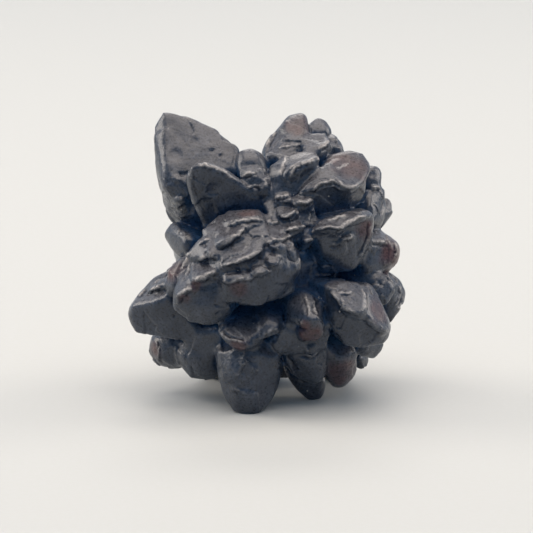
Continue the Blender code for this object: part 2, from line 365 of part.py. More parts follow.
def ring_of(centre, across, through, chance):
    """Four uneven corners round a centre."""
    for turn_x, turn_y in ((-1, -1), (1, -1), (1, 1), (-1, 1)):
        slack = chance.uniform(0.75, 1.1)
        yield tuple(centre + across * turn_x * slack + through * turn_y * slack)


def back_crystals(chance):
    """Wedges for the far side, each with a lower neighbour grown against it."""
    listed = (*UPPER_CRYSTALS, *MIDDLE_CRYSTALS, *LOWER_CRYSTALS)
    taken = [sum((Vector(corner) for corner in crystal.corners), Vector()) for crystal in listed]
    golden = math.pi * (3 - math.sqrt(5))
    for index in range(BALL_DIRECTIONS):
        up = 1 - 2 * (index + 0.5) / BALL_DIRECTIONS
        ring = math.sqrt(1 - up * up)
        out = Vector((ring * math.cos(golden * index), up, ring * math.sin(golden * index)))
        if out.z > BACK_STARTS_AT or min(out.angle(other) for other in taken) < BACK_GAP:
            continue
        outline = BACK_OUTLINE / max(0.2, math.hypot(out.x, out.y))
        reach = min(chance.uniform(*BACK_REACH), outline)
        shoulder = min(chance.uniform(*BACK_SHOULDER), reach * 0.8)
        across = Matrix.Rotation(chance.uniform(0, math.pi), 3, out) @ out.orthogonal().normalized()
        through = out.cross(across) * chance.uniform(*BACK_FLATNESS)
        half_width = chance.uniform(*BACK_HALF_WIDTH)
        tip_half = half_width * chance.uniform(*BACK_TIP_SHARE)
        tip = out * reach + across * chance.uniform(-BACK_SKEW, BACK_SKEW)
        root = tuple(out * 2)
        yield Crystal(f"back_{index:02d}", root, (
            *ring_of(tip, across * tip_half, through * tip_half, chance),
            *ring_of(out * shoulder, across * half_width, through * half_width, chance),
        ))
        shift = through.normalized() * half_width * 0.7 * chance.choice((-1, 1))
        small = half_width * STEP_SIZE
        yield Crystal(f"back_{index:02d}_step", root, (
            *ring_of(out * reach * STEP_REACH + shift, across * small * 0.6, through * small * 0.5, chance),
            *ring_of(out * shoulder * 0.95 + shift, across * small, through * small, chance),
        ))


def helper_from(bm, name, turn, collection):
    """A hidden solid that the Booleans read, in metres."""
    bm.transform(Matrix.Scale(MM, 4) @ turn)
    bmesh.ops.triangulate(bm, faces=bm.faces)
    bmesh.ops.recalc_face_normals(bm, faces=bm.faces)
    mesh = bpy.data.meshes.new(name)
    bm.to_mesh(mesh)
    bm.free()
    obj = bpy.data.objects.new(name, mesh)
    collection.objects.link(obj)
    obj.hide_render = True
    obj.display_type = "WIRE"
    return obj


def make_goethite():
    """Goethite with a hand-worn patina: nearly black brown, satin."""
    material = bpy.data.materials.new("worn_goethite")
    material.use_nodes = True
    shader = material.node_tree.nodes["Principled BSDF"]
    shader.inputs["Base Color"].default_value = (0.035, 0.030, 0.028, 1)
    shader.inputs["Roughness"].default_value = 0.45
    shader.inputs["Metallic"].default_value = 0.0
    return material


def make_nucleus(turn):
    """The body between the crystals' roots, the object that they are all joined to."""
    bm = bmesh.new()
    bmesh.ops.create_icosphere(bm, subdivisions=2, radius=NUCLEUS_RADIUS)
    bm.transform(Matrix.Scale(MM, 4) @ turn)
    bmesh.ops.recalc_face_normals(bm, faces=bm.faces)
    mesh = bpy.data.meshes.new(NODE_NAME)
    bm.to_mesh(mesh)
    bm.free()
    stone = bpy.data.objects.new(NODE_NAME, mesh)
    bpy.context.scene.collection.objects.link(stone)
    stone.data.materials.append(make_goethite())
    return stone


def make_resting_plane(collection):
    """A block below the surface that the stone stands on: it cuts the worn facets on the feet."""
    side = 60.0
    bm = bmesh.new()
    bmesh.ops.create_cube(bm, size=side)
    return helper_from(bm, "resting_plane", Matrix.Translation((0, 0, -side / 2)), collection)


def move_box_over_origin(objects):
    """Moves the meshes so that the middle of their common box is above the origin."""
    points = [vert.co for obj in objects for vert in obj.data.vertices]
    across = [point.x for point in points]
    deep = [point.y for point in points]
    middle = Vector((min(across) + max(across), min(deep) + max(deep), 0)) / 2
    for obj in objects:
        obj.data.transform(Matrix.Translation(-middle))


def main():
    clear_scene()
    chance = random.Random(SEED)
    turn = view_to_stone()
    crystals = bpy.data.collections.new("crystals")
    bpy.context.scene.collection.children.link(crystals)
    for crystal in (*UPPER_CRYSTALS, *MIDDLE_CRYSTALS, *LOWER_CRYSTALS, *back_crystals(chance)):
        helper_from(worn_hull(crystal_corners(crystal)), crystal.name, turn, crystals)
    stone = make_nucleus(turn)
    move_box_over_origin([stone, *crystals.objects])
    join = stone.modifiers.new("fuse_crystals", "BOOLEAN")
    join.operation = "UNION"
    join.operand_type = "COLLECTION"
    join.collection = crystals
    join.solver = "EXACT"
    cut = stone.modifiers.new("worn_feet", "BOOLEAN")
    cut.operation = "DIFFERENCE"
    cut.object = make_resting_plane(bpy.context.scene.collection)
    cut.solver = "EXACT"


main()
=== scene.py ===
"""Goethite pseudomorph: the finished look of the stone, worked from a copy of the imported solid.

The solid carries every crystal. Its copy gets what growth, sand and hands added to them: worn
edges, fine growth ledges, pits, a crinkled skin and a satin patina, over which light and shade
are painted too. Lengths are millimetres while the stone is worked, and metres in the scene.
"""

import math
import random
from typing import NamedTuple

import bmesh
import bpy
import numpy as np
from mathutils import Matrix, Vector, noise
from mathutils.bvhtree import BVHTree
from mathutils.kdtree import KDTree


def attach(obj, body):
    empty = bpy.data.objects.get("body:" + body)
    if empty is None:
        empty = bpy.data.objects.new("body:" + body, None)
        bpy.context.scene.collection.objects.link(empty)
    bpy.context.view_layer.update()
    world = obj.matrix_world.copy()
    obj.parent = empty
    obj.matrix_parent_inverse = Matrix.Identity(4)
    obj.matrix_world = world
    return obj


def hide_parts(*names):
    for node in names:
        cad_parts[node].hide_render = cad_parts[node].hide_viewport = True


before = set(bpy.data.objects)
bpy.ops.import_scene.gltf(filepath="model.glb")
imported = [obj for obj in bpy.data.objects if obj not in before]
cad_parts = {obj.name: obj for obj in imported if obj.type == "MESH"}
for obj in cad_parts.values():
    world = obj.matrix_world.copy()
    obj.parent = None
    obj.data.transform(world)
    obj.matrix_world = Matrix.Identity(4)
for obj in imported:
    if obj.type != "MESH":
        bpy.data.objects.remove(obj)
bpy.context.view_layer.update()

MM = 0.001
NODE = "goethite_stone"

# The photograph's view: places named (right, up, near) are counted from the stone's nucleus
# as an eye this far above the horizon sees it.
VIEW_TILT = math.radians(12.0)
NUCLEUS = Vector((0.739, -0.558, 13.35))

# Grain of the worked surface, and the largest triangle count that the piece may have.
VOXEL = 0.12
MOST_TRIANGLES = 190_000

# Wear, as rounds of averaging and the share of their effect that stays. A wide one takes only the
# proudest tips down. A close one rounds the edges, and fills the hollows between them a little.
TIP_ROUNDS = 60
TIP_SHARE = 0.12
EDGE_ROUNDS = 1
HOLLOW_FILL = 0.4
# Faces are evened out in full where that moves them less than the first distance. From the second
# on they stay as they are, because an edge is there. The change between the two is blended.
FACE_ROUNDS = 24
FACE_RELIEF = (0.05, 0.14)
FACE_BLEND_ROUNDS = 6
# Sand and fine crystals fill the depth of the gaps between crystals by this share.
GAP_ROUNDS = 12
GAP_FILL = 0.45
# Handling goes over the carved surface once more.
LAST_ROUNDS = 1
LAST_FILL = 0.5
# What the carving gives back of the size that wear takes.
OUTWARD = 0.09

# Section across a growth ledge, as distances to the left of its line. The face rises to the lip,
# the groove lies at the foot of the face, and the lip is the first strip of the tread.
LEDGE_FACE = (-0.06, 0.08)
TREAD_CURVE = 1.4
GROOVE_FLANK = (-0.38, -0.14)
GROOVE_WALL = (-0.02, -0.10)
GROOVE_DEPTH = 0.4
LIP_FACE = (-0.06, 0.06)
LIP_BACK = (0.40, 0.10)
# A ledge rises over this share of its length at each end. It keeps to the surface at its line,
# and fades out where the stone is this much farther back or nearer. Its line wavers this far.
LEDGE_ENDS = 0.22
LEDGE_DEPTH = (1.5, 0.8)
LEDGE_WAVER = 0.09
# Reach of a ledge past its tread, and of the look for the surface under a place of its line.
LEDGE_MARGIN = 0.5
PROBE_RADIUS = 0.25
# The front's own ledges and pits fade in from the first value to the second: how far a surface
# is turned to the camera, and how near it is.
FRONT_TURN = (0.05, 0.35)
FRONT_NEAR = (-3.0, -1.0)

# Rounds of averaging that tell an edge from its faces, and a hollow from the stone round it.
EDGE_SCALE = 4
HOLLOW_SCALE = 40
# How far averaging takes an edge down where it starts to be worn pale and painted as a lit rim, and
# where that is full, and how far it fills a groove where its painted shade starts, and where that is full.
WORN_AND_LIT_EDGE = (0.018, 0.045)
GROOVE = (0.018, 0.045)
# What the lips and the grooves of the growth ledges add to that: a painted highlight on each lip and painted
# shade in the groove under it.
LIP_SHARPNESS = 0.04
# A place is sheltered by the share of the ways out of it that meet stone within this reach.
SHELTER_WAYS = 24
SHELTER_REACH = 8.0
# Each mark of the skin goes from nothing at the first value to full at the second: how far
# averaging fills a hollow and how sheltered a depth is, for their painted shade, how level and how
# sheltered a top is, for the painted light that falls on it, and how level and how sheltered an
# edge is, for its pale wear and the painted highlight where it faces up.
HOLLOW = (0.05, 0.45)
DEPTH_SHELTER = (0.35, 0.85)
LIT_TOP_LEVEL = (0.35, 0.85)
LIT_TOP_SHELTER = (0.8, 0.3)
LIT_EDGE_LEVEL = (-0.3, 0.5)
RUBBED_SHELTER = (0.6, 0.2)


class Unevenness(NamedTuple):
    """A layer of the skin's unevenness, as noise with lumps of one size.

    Its height is the same all over, plus a share of the crinkle that the place has.
    """

    size: float
    octaves: int
    shift: float
    height: float
    crinkle_share: float


SKIN_LAYERS = (
    Unevenness(3.2, 2, 0.0, 0.07, 0.0),
    Unevenness(1.5, 2, 7.0, 0.035, 0.8),
    Unevenness(0.75, 3, 5.0, 0.0, 0.7),
    Unevenness(0.35, 2, 29.0, 0.0, 0.5),
)
# Crinkle of the faces that lie outside every zone.
LEAST_CRINKLE = 0.018


class Zone(NamedTuple):
    """A stretch of surface with its own grain, centred at (right, up, near) from the nucleus."""

    centre: tuple
    radius: float
    downhill: tuple
    ledge_spacing: float
    ledge_height: float
    crinkle: float


# Downhill is the way that the lips of the fine growth steps face.
ZONES = (
    Zone((-1.5, 2.2, 9.8), 4.6, (0.42, -0.88, 0.25), 0.80, 0.02, 0.045),
    Zone((1.4, 5.2, 7.0), 3.4, (0.30, -0.95, 0.0), 0.70, 0.02, 0.040),
    Zone((-10.4, 6.4, 1.6), 3.2, (0.10, -0.95, 0.2), 0.75, 0.06, 0.055),
    Zone((-4.8, 11.2, 2.4), 2.2, (0.60, -0.75, 0.2), 1.20, 0.00, 0.060),
    Zone((-8.0, -0.6, 8.6), 2.2, (0.42, -0.88, 0.2), 0.90, 0.03, 0.035),
    Zone((-12.4, -2.6, 2.8), 2.2, (0.45, -0.85, 0.2), 0.80, 0.04, 0.055),
    Zone((6.2, 3.9, 7.6), 2.2, (0.20, -0.95, 0.2), 0.85, 0.04, 0.045),
    Zone((1.0, 11.6, 1.8), 2.0, (0.35, -0.90, 0.1), 1.10, 0.01, 0.035),
    Zone((6.8, -3.2, 8.6), 2.0, (0.55, -0.80, 0.2), 0.80, 0.04, 0.055),
    Zone((-4.2, -10.0, 7.6), 2.2, (-0.85, -0.40, 0.2), 0.90, 0.05, 0.070),
    Zone((1.6, -9.0, 5.4), 3.0, (0.20, -0.90, 0.3), 0.80, 0.06, 0.080),
    Zone((-2.0, 7.8, 4.8), 2.4, (0.30, -0.90, 0.2), 0.75, 0.06, 0.075),
)


class Ledge(NamedTuple):
    """A growth ledge of the front, drawn as a line of (right, up) places.

    The stone is raised on the left hand of someone who walks the line: highest at the line
    itself, and fading away over the tread.
    """

    line: tuple
    height: float
    tread: float


LUMP_LEDGES = (
    Ledge(((-5.8, 1.0), (-4.9, 1.6), (-4.2, 2.0), (-3.4, 2.6), (-2.7, 3.5)), 0.20, 1.2),
    Ledge(((-5.4, -0.5), (-4.4, -0.3), (-3.4, -0.1), (-2.4, 0.4), (-1.7, 0.8), (-1.1, 1.3)), 0.24, 1.0),
    Ledge(((-5.4, -1.9), (-4.3, -2.1), (-3.5, -1.8), (-2.3, -1.8), (-1.7, -1.2), (-0.6, -0.9)), 0.20, 0.9),
    Ledge(((-4.9, 3.4), (-3.5, 3.8), (-2.3, 4.0), (-1.0, 4.0)), 0.20, 0.9),
    Ledge(((-1.3, 1.5), (-0.3, 1.9), (0.9, 2.1), (1.9, 2.7)), 0.25, 1.2),
    Ledge(((2.3, -1.4), (2.5, 0.0), (2.3, 1.2), (1.8, 2.4)), 0.12, 0.8),
    Ledge(((-7.5, 1.6), (-6.9, 1.9), (-6.3, 2.2)), 0.20, 0.6),
    Ledge(((-7.5, 0.0), (-6.8, 0.3), (-6.1, 0.5), (-5.5, 0.1)), 0.24, 0.8),
)
SNOUT_LEDGES = (
    Ledge(((-7.9, -2.0), (-7.0, -1.8), (-6.3, -1.4), (-5.4, -0.9)), 0.26, 1.2),
    Ledge(((-9.4, -4.2), (-9.2, -3.5), (-8.5, -2.9), (-7.9, -2.8)), 0.26, 1.0),
    Ledge(((-8.3, 0.0), (-8.6, -0.8), (-8.8, -1.6)), 0.18, 0.6),
    Ledge(((-8.5, 1.2), (-8.8, 0.2), (-9.4, -0.8)), 0.18, 0.6),
)
LEFT_LEDGES = (
    Ledge(((-12.5, -3.0), (-11.9, -2.8), (-11.2, -2.4)), 0.18, 0.7),
    Ledge(((-13.8, -3.6), (-13.2, -3.2), (-12.8, -2.6)), 0.14, 0.5),
    Ledge(((-11.5, -10.3), (-11.5, -9.0), (-11.8, -7.8)), 0.14, 0.5),
    Ledge(((-9.4, -10.5), (-9.7, -9.3), (-9.7, -8.1)), 0.10, 0.3),
)
WEDGE_RIMS = (
    Ledge(((-6.8, 3.9), (-7.5, 5.6), (-7.9, 6.9), (-8.2, 8.0), (-8.1, 8.9), (-7.6, 9.3)), 0.10, 0.5),
    Ledge(((-7.9, 9.2), (-6.9, 9.4), (-5.9, 9.1), (-4.9, 8.6), (-3.8, 7.8)), 0.08, 0.4),
)
SPIRE_LEDGES = (
    Ledge(((-10.5, 5.6), (-9.7, 5.3), (-8.9, 5.8)), 0.16, 1.0),
    Ledge(((-10.0, 4.6), (-9.1, 4.5), (-8.3, 4.8)), 0.14, 1.0),
    Ledge(((-3.2, 8.4), (-2.5, 8.6), (-1.7, 8.2)), 0.14, 0.6),
    Ledge(((-2.8, 7.2), (-2.0, 7.5), (-1.2, 7.2)), 0.16, 0.5),
)
UPPER_LEDGES = (
    Ledge(((-0.9, 11.2), (-0.5, 12.1), (0.2, 13.2)), 0.14, 0.4),
    Ledge(((0.1, 11.2), (0.8, 11.4), (2.2, 11.6), (3.0, 11.7)), 0.10, 0.8),
    Ledge(((4.3, 11.0), (4.9, 11.4), (5.6, 12.2)), 0.20, 0.7),
    Ledge(((0.6, 8.2), (0.8, 9.2), (1.3, 10.7)), 0.12, 0.5),
    Ledge(((1.4, 8.1), (2.0, 9.3), (3.3, 9.7), (4.2, 10.2)), 0.16, 0.8),
    Ledge(((2.6, 6.9), (3.7, 6.9), (4.6, 7.6), (5.8, 7.8), (6.9, 7.2), (7.7, 7.2), (8.8, 7.9)), 0.20, 0.8),
    Ledge(((4.7, 7.2), (5.8, 7.4), (6.8, 7.0), (7.7, 6.9)), 0.12, 0.3),
    Ledge(((8.9, 8.0), (9.1, 7.2), (9.0, 6.2)), 0.12, 0.4),
    Ledge(((9.5, 7.2), (10.3, 7.4), (10.9, 7.2)), 0.18, 0.6),
    Ledge(((11.1, 6.2), (10.9, 5.4), (10.5, 4.4)), 0.16, 0.5),
)
VALLEY_LEDGES = (
    Ledge(((0.0, 6.2), (0.9, 6.3), (1.5, 6.6)), 0.22, 0.5),
    Ledge(((2.1, 5.7), (3.0, 5.6), (3.8, 6.0)), 0.26, 0.6),
    Ledge(((0.3, 4.4), (1.1, 4.2), (2.1, 5.0)), 0.26, 0.8),
    Ledge(((0.9, 3.0), (1.7, 3.0), (2.4, 3.3)), 0.24, 0.6),
    Ledge(((2.8, 1.9), (3.3, 2.0), (3.8, 2.2)), 0.22, 0.5),
    Ledge(((2.5, 3.4), (3.5, 3.6), (4.7, 4.0)), 0.18, 0.6),
    Ledge(((-1.0, 4.0), (-0.3, 3.7), (0.5, 3.9)), 0.18, 0.5),
)
FIN_LEDGES = (
    Ledge(((3.6, 3.0), (4.5, 3.1), (5.3, 3.3), (6.2, 3.1), (7.0, 3.5), (7.7, 4.0), (8.6, 4.4), (9.4, 4.5)),
          0.26, 0.8),
    Ledge(((5.0, 4.0), (6.1, 4.3), (7.1, 4.5)), 0.10, 0.4),
    Ledge(((6.5, 2.2), (7.2, 2.1), (7.7, 2.4)), 0.24, 0.5),
    Ledge(((5.4, 1.8), (5.8, 1.6), (6.3, 1.8)), 0.16, 0.4),
    Ledge(((9.3, 4.2), (9.2, 2.7), (8.7, 1.2), (8.0, 0.0)), 0.18, 0.5),
    Ledge(((9.3, 1.9), (10.5, 1.8), (11.5, 1.7)), 0.14, 0.6),
    Ledge(((11.8, 2.0), (12.0, 1.0), (11.7, 0.2)), 0.12, 0.4),
    Ledge(((11.0, -1.4), (11.8, -2.0), (12.0, -2.8), (11.6, -3.5), (11.1, -4.1)), 0.18, 0.4),
    Ledge(((12.3, -2.3), (12.5, -3.1), (12.3, -3.9), (11.7, -4.6)), 0.12, 0.35),
    Ledge(((12.8, -3.0), (12.7, -4.0), (12.2, -4.9)), 0.12, 0.35),
)
RAM_LEDGES = (
    Ledge(((5.1, -2.7), (5.8, -3.5), (6.6, -4.6), (7.5, -5.0), (8.6, -5.4)), 0.20, 0.7),
    Ledge(((8.6, -5.4), (9.1, -5.9), (9.8, -6.6), (10.7, -6.9), (11.3, -6.7)), 0.20, 0.8),
    Ledge(((8.9, -5.0), (8.8, -3.8), (8.6, -2.3)), 0.14, 0.5),
    Ledge(((9.7, -2.3), (10.5, -3.6), (11.0, -5.0)), 0.14, 0.5),
    Ledge(((6.1, -3.1), (7.0, -3.2), (7.7, -3.0)), 0.14, 0.4),
    Ledge(((8.0, -8.5), (9.5, -8.4), (10.8, -8.1)), 0.12, 0.3),
    Ledge(((5.3, -7.1), (5.9, -6.9), (6.3, -6.8)), 0.14, 0.4),
    Ledge(((2.8, -3.1), (3.1, -4.1), (3.4, -5.6)), 0.08, 0.4),
    Ledge(((4.3, -5.6), (3.9, -4.2), (3.4, -2.9)), 0.10, 0.4),
    Ledge(((2.3, -5.6), (2.7, -6.3), (3.3, -6.5)), 0.18, 0.5),
    Ledge(((5.2, -5.4), (5.0, -4.6), (4.5, -3.8)), 0.10, 0.3),
)
FOOT_LEDGES = (
    Ledge(((-2.9, -7.8), (-3.7, -7.6), (-4.5, -7.5), (-5.1, -7.1), (-5.4, -6.4)), 0.22, 0.6),
    Ledge(((-1.3, -7.3), (-0.5, -7.0), (0.3, -6.6)), 0.14, 0.6),
    Ledge(((-4.4, -12.8), (-3.9, -12.6), (-3.5, -12.8)), 0.10, 0.4),
    Ledge(((2.1, -11.3), (1.5, -10.0), (0.9, -9.0)), 0.12, 0.5),
    Ledge(((2.5, -9.0), (3.5, -9.4), (4.5, -8.8)), 0.20, 0.5),
)
FRONT_LEDGES = (
    *LUMP_LEDGES, *SNOUT_LEDGES, *LEFT_LEDGES, *WEDGE_RIMS, *SPIRE_LEDGES, *UPPER_LEDGES,
    *VALLEY_LEDGES, *FIN_LEDGES, *RAM_LEDGES, *FOOT_LEDGES,
)

# Pits of the front faces as (right, up, radius, depth).
FRONT_PITS = (
    (-9.9, 10.6, 0.90, 0.14), (-8.7, 11.4, 0.22, 0.05), (-7.9, 12.0, 0.50, 0.06),
    (-6.5, 12.0, 0.20, 0.07), (-6.3, 11.0, 0.34, 0.09), (-5.4, 10.5, 0.30, 0.14),
    (-8.2, 13.5, 0.40, 0.04), (0.1, 11.9, 0.60, 0.06),
    (1.2, 11.6, 0.60, 0.07), (2.3, 11.7, 0.50, 0.06), (6.2, 11.8, 0.50, 0.12),
    (9.7, 8.8, 0.50, 0.14), (10.0, 7.8, 0.34, 0.12), (-6.8, 1.6, 0.20, 0.16),
    (-6.7, 0.9, 0.20, 0.16), (-3.6, -0.9, 0.42, 0.20), (-2.7, -0.8, 0.32, 0.16),
    (-1.5, 0.4, 0.36, 0.14), (10.5, -2.3, 0.30, 0.14), (4.0, -6.8, 0.30, 0.12),
    (-1.9, -5.6, 0.45, 0.25),
)
# Small pits all over the stone: a share of the cells of this spacing have one.
PIT_SPACING = 2.3
PIT_RADIUS = 0.30
PIT_SHARE = 0.35
PIT_DEPTH = 0.12

# Faces where the brown-black skin is worn through to red-brown, as (right, up, near, radius).
RED_PLACES = (
    (7.4, 9.2, 3.2, 2.6), (11.3, 1.0, 0.4, 2.2), (10.0, -4.8, 6.0, 1.9), (2.9, -6.3, 9.4, 0.8),
    (3.6, -7.2, 8.6, 1.4), (6.8, -10.8, 3.0, 2.0), (-7.7, -2.3, 9.6, 0.7), (-8.9, -3.5, 9.0, 0.7),
    (-10.2, -0.8, 5.8, 1.5), (-12.4, -8.8, 0.6, 1.2), (-3.6, -8.4, 9.6, 1.2), (-3.6, -2.7, 11.0, 1.0),
    (-2.6, 5.0, 7.6, 1.4), (2.4, 13.6, 0.2, 1.6), (9.0, 3.2, 4.4, 1.4), (-4.0, 9.0, -9.0, 3.0),
    (6.0, -2.0, -11.0, 3.0), (-11.0, 1.0, -6.0, 2.5),
)

# Sand grains: those that glint in the front's hollows, as (right, up), and more all round, where
# the hollow mark is this strong and the board this far below. A front grain sits on the vertex
# nearest to the camera within its spot.
FRONT_GRAINS = (
    (-9.4, 5.3), (-9.2, 7.0), (6.3, 11.5), (9.3, 5.7), (5.2, 6.5), (1.6, 4.0), (1.8, 6.7),
    (4.2, 10.5), (-2.2, -6.0), (6.0, -8.6), (5.0, -10.3), (3.3, -12.8), (4.3, -3.4), (6.2, -4.8),
    (10.6, -2.3), (7.9, -1.3), (0.3, 0.0), (-4.9, 4.2), (-6.4, -8.0), (2.4, -8.4),
)
MORE_GRAINS = 90
GRAIN_DEPTH = 0.5
GRAIN_LEVEL = 1.0
GRAIN_SPOT = 0.15
GRAIN_RADIUS = (0.05, 0.10)
GRAIN_SEED = 11


def view_axes():
    """Rows are the view's right, up and near directions in the stone's own frame."""
    sine, cosine = math.sin(VIEW_TILT), math.cos(VIEW_TILT)
    return np.array(((1, 0, 0), (0, sine, cosine), (0, -cosine, sine)))


def seen_from_front(points):
    """Places in the stone's frame as (right, up, near) from the nucleus."""
    return (points - np.array(NUCLEUS)) @ view_axes().T


def smoothstep(low, high, value):
    """0 at low and beyond, 1 at high and beyond, with an even curve between."""
    share = np.clip((value - low) / (high - low), 0, 1)
    return share * share * (3 - 2 * share)


# Reading and writing a mesh as arrays


def places_of(mesh):
    flat = np.empty(len(mesh.vertices) * 3)
    mesh.vertices.foreach_get("co", flat)
    return flat.reshape(-1, 3)


def normals_of(mesh):
    flat = np.empty(len(mesh.vertices) * 3)
    mesh.vertices.foreach_get("normal", flat)
    return flat.reshape(-1, 3)


def put_places(mesh, places):
    mesh.vertices.foreach_set("co", places.ravel())
    mesh.update()


def put_values(mesh, name, values):
    """Writes one number per vertex, for the material to read."""
    attribute = mesh.attributes.new(name, "FLOAT", "POINT")
    attribute.data.foreach_set("value", values.astype(np.float32))


def edge_ends(mesh):
    flat = np.empty(len(mesh.edges) * 2, dtype=np.int64)
    mesh.edges.foreach_get("vertices", flat)
    return flat.reshape(-1, 2)


def spread(values, ends, rounds):
    """Values averaged with their neighbours, again and again."""
    count = np.bincount(ends.ravel(), minlength=len(values))
    columns = values.reshape(len(values), -1).copy()
    for _ in range(rounds):
        for column in columns.T:
            total = np.bincount(ends[:, 0], column[ends[:, 1]], len(values))
            total += np.bincount(ends[:, 1], column[ends[:, 0]], len(values))
            column += 0.5 * (total / count - column)
    return columns.reshape(values.shape)


# Patterns in the stone


def cloud(points, size, octaves=1, shift=0.0):
    """Soft noise from about -1 to 1, with lumps about this many millimetres across."""
    away = Vector((shift, shift * 1.7, -shift))
    return np.array([
        noise.fractal(Vector(point) / size + away, 1.0, 2.0, octaves) for point in points
    ])


def scattered_pits(points, spacing, radius, share):
    """0 to 1, 1 in the middle of each pit: a share of the cells of this spacing have one."""
    depth = np.zeros(len(points))
    for index, point in enumerate(points):
        distances, centres = noise.voronoi(Vector(point) / spacing)
        luck = noise.cell(centres[0] * 37.0)
        if luck < share:
            depth[index] = 1 - distances[0] * spacing / (radius * (0.6 + 0.8 * luck / share))
    return smoothstep(0.0, 0.7, depth)


def ledge_heights(turns):
    """Height over one turn of each ledge: up its sharp lip at once, then down its long tread."""
    share = turns - np.floor(turns)
    return smoothstep(0.0, 0.14, share) * (1 - share) - 0.4


# The stone


def working_copy():
    """The solid's mesh, merged and in millimetres, as an object of its own."""
    bm = bmesh.new()
    bm.from_mesh(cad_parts[NODE].data)
    bmesh.ops.remove_doubles(bm, verts=bm.verts, dist=1e-6)
    bmesh.ops.transform(bm, matrix=Matrix.Scale(1 / MM, 4), verts=bm.verts)
    mesh = bpy.data.meshes.new("goethite_cluster")
    bm.to_mesh(mesh)
    bm.free()
    stone = bpy.data.objects.new("goethite_cluster", mesh)
    bpy.context.scene.collection.objects.link(stone)
    return stone


def finish_modifiers(stone):
    """Replaces the object's mesh by what its modifiers make of it."""
    graph = bpy.context.evaluated_depsgraph_get()
    made = bpy.data.meshes.new_from_object(stone.evaluated_get(graph))
    stone.modifiers.clear()
    stone.data = made


def regrain(stone):
    """Builds the surface anew from small even faces, fine enough to be worked."""
    remesh = stone.modifiers.new("regrain", "REMESH")
    remesh.mode = "VOXEL"
    remesh.voxel_size = VOXEL
    finish_modifiers(stone)


def drift(mesh, rounds):
    """The way each vertex goes when the surface is averaged, and how far that is outward."""
    places = places_of(mesh)
    moved = spread(places, edge_ends(mesh), rounds) - places
    return moved, np.einsum("ij,ij->i", moved, normals_of(mesh))


def wear(mesh, rounds, proud_share, hollow_share):
    """Rounds the surface as handling does: proud places go down, hollows fill only a little."""
    moved, outward = drift(mesh, rounds)
    moved *= np.where(outward > 0, hollow_share, proud_share)[:, None]
    put_places(mesh, places_of(mesh) + moved)


def zone_share(zone, seen):
    """1 in the middle of a zone, 0 outside it."""
    distance = np.linalg.norm(seen - np.array(zone.centre), axis=1)
    return smoothstep(zone.radius, zone.radius * 0.55, distance)


def roughness_of(seen):
    """0 on smooth faces, 1 where the skin is crinkled most."""
    rough = np.zeros(len(seen))
    for zone in ZONES:
        rough = np.maximum(rough, zone_share(zone, seen) * min(1.0, zone.crinkle / 0.06))
    return rough


def even_faces(mesh):
    """Evens out the gentle creases of the smooth faces and leaves the edges between them."""
    moved, outward = drift(mesh, FACE_ROUNDS)
    share = smoothstep(FACE_RELIEF[1], FACE_RELIEF[0], np.abs(outward))
    share *= 1 - roughness_of(seen_from_front(places_of(mesh)))
    share = spread(share, edge_ends(mesh), FACE_BLEND_ROUNDS)
    put_places(mesh, places_of(mesh) + moved * share[:, None])


def facing_front(seen, normals):
    """1 on surfaces of the front that are turned to the camera, 0 on the others."""
    return smoothstep(*FRONT_TURN, normals @ view_axes()[2]) * smoothstep(*FRONT_NEAR, seen[:, 2])


def front_depth(seen, place):
    """How near the front surface is at a (right, up) place."""
    close = np.hypot(seen[:, 0] - place[0], seen[:, 1] - place[1]) < PROBE_RADIUS
    return seen[close, 2].max(initial=0.0)


def around_line(seen, corners, reach):
    """Marks the places round a line: within reach of its box, and not far behind it."""
    low = corners.min(axis=0)
    high = corners.max(axis=0)
    inside = (seen[:, 0] > low[0] - reach) & (seen[:, 0] < high[0] + reach)
    inside &= (seen[:, 1] > low[1] - reach) & (seen[:, 1] < high[1] + reach)
    return inside & (seen[:, 2] > low[2] - LEDGE_DEPTH[0])


def walk_past(seen, corners):
    """How places lie to a line of (right, up, near) corners, as three arrays.

    The first is the distance from the line, above 0 on its left hand. The second is the share of
    the line before the point nearest to the place. The third is how far apart the two are in depth.
    """
    lengths = np.linalg.norm(np.diff(corners[:, :2], axis=0), axis=1)
    nearest = np.full(len(seen), np.inf)
    side = np.zeros(len(seen))
    walked = np.zeros(len(seen))
    gap = np.zeros(len(seen))
    for index, (start, end) in enumerate(zip(corners, corners[1:])):
        along = (end - start)[:2] / lengths[index]
        offset = seen[:, :2] - start[:2]
        share = np.clip(offset @ along / lengths[index], 0, 1)
        distance = np.linalg.norm(offset - share[:, None] * (end - start)[:2], axis=1)
        left = along[0] * offset[:, 1] - along[1] * offset[:, 0]
        depth = start[2] + share * (end[2] - start[2])
        closer = distance < nearest
        nearest = np.where(closer, distance, nearest)
        side = np.where(closer, np.copysign(distance, left), side)
        walked = np.where(closer, lengths[:index].sum() + share * lengths[index], walked)
        gap = np.where(closer, np.abs(seen[:, 2] - depth), gap)
    return side, walked / lengths.sum(), gap


def ledge_relief(seen, ledge):
    """Height that one ledge of the front adds to each vertex, and how sharp it makes it there."""
    corners = np.array([(*place, front_depth(seen, place)) for place in ledge.line])
    inside = around_line(seen, corners, ledge.tread + LEDGE_MARGIN)
    side, walked, gap = walk_past(seen[inside], corners)
    share = smoothstep(0.0, LEDGE_ENDS, walked) * smoothstep(1.0, 1 - LEDGE_ENDS, walked)
    share *= smoothstep(*LEDGE_DEPTH, gap)
    tread = smoothstep(*LEDGE_FACE, side) * (1 - np.clip(side / ledge.tread, 0, 1)) ** TREAD_CURVE
    groove = smoothstep(*GROOVE_FLANK, side) * smoothstep(*GROOVE_WALL, side)
    lip = smoothstep(*LIP_FACE, side) * smoothstep(*LIP_BACK, side)
    relief = np.zeros(len(seen))
    relief[inside] = ledge.height * share * (tread - GROOVE_DEPTH * groove)
    # The lip gets a painted highlight and the groove painted shade, through the skin's edge and groove marks
    sharp = np.zeros(len(seen))
    sharp[inside] = LIP_SHARPNESS * share * (lip - groove)
    return relief, sharp


